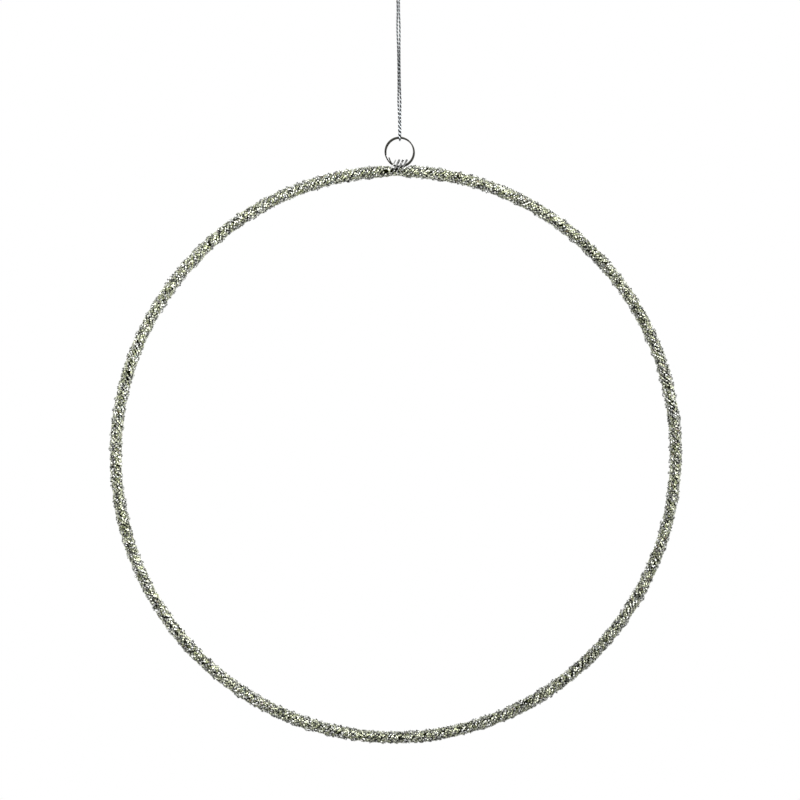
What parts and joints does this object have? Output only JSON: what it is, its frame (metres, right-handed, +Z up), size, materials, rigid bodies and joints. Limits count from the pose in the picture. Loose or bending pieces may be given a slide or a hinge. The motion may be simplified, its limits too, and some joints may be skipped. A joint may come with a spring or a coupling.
{
  "type": "bead-wound hanging hoop",
  "caption": "Thin round hoop of steel rod wound with strands of tiny silver glass beads, bound to a small wire ring and hung on a doubled, knotted silver cord.",
  "frame": {"origin": "the hanging point, at the middle of the cord's two legs where they enter the knot", "axes": "+Z up along the cord, +X to the right and +Y to the back of the hoop, which lies in the XZ plane and faces -Y"},
  "size_m": [0.2996, 0.0066, 0.4012],
  "materials": {
    "rod": "dark bare steel rod, hidden under the beads",
    "beads": "silver-lined glass, champagne silver with an olive tint",
    "binding": "bright silver wire",
    "ring": "nickel-plated spring wire",
    "cord": "twisted metallic thread, cool silver"
  },
  "bodies": {
    "knot": {"cord_knot": "cord", "cord_tail_left": "cord", "cord_tail_right": "cord"},
    "cord": {"hanging_cord": "cord"},
    "ring": {"hanging_ring": "ring"},
    "hoop": {"core_hoop": "rod", "bead_strand_1": "beads", "bead_strand_2": "beads", "bead_strand_3": "beads", "bead_strand_4": "beads", "bead_strand_5": "beads", "bead_strand_6": "beads", "bead_strand_7": "beads", "binding_wire": "binding"}
  },
  "joints": [
    {"name": "cord_twist", "type": "hinge", "parent": "knot", "child": "cord", "pos_m": [0, 0, 0], "axis": [0, 0, 1], "range_deg": [-180, 180]},
    {"name": "ring_swing", "type": "hinge", "parent": "cord", "child": "ring", "pos_m": [0.0015, 0, -0.075], "axis": [1, 0, 0], "range_deg": [-80, 80]},
    {"name": "hoop_swing", "type": "hinge", "parent": "ring", "child": "hoop", "pos_m": [0.0015, 0, -0.0899], "axis": [1, 0, 0], "range_deg": [-45, 45]}
  ]
}
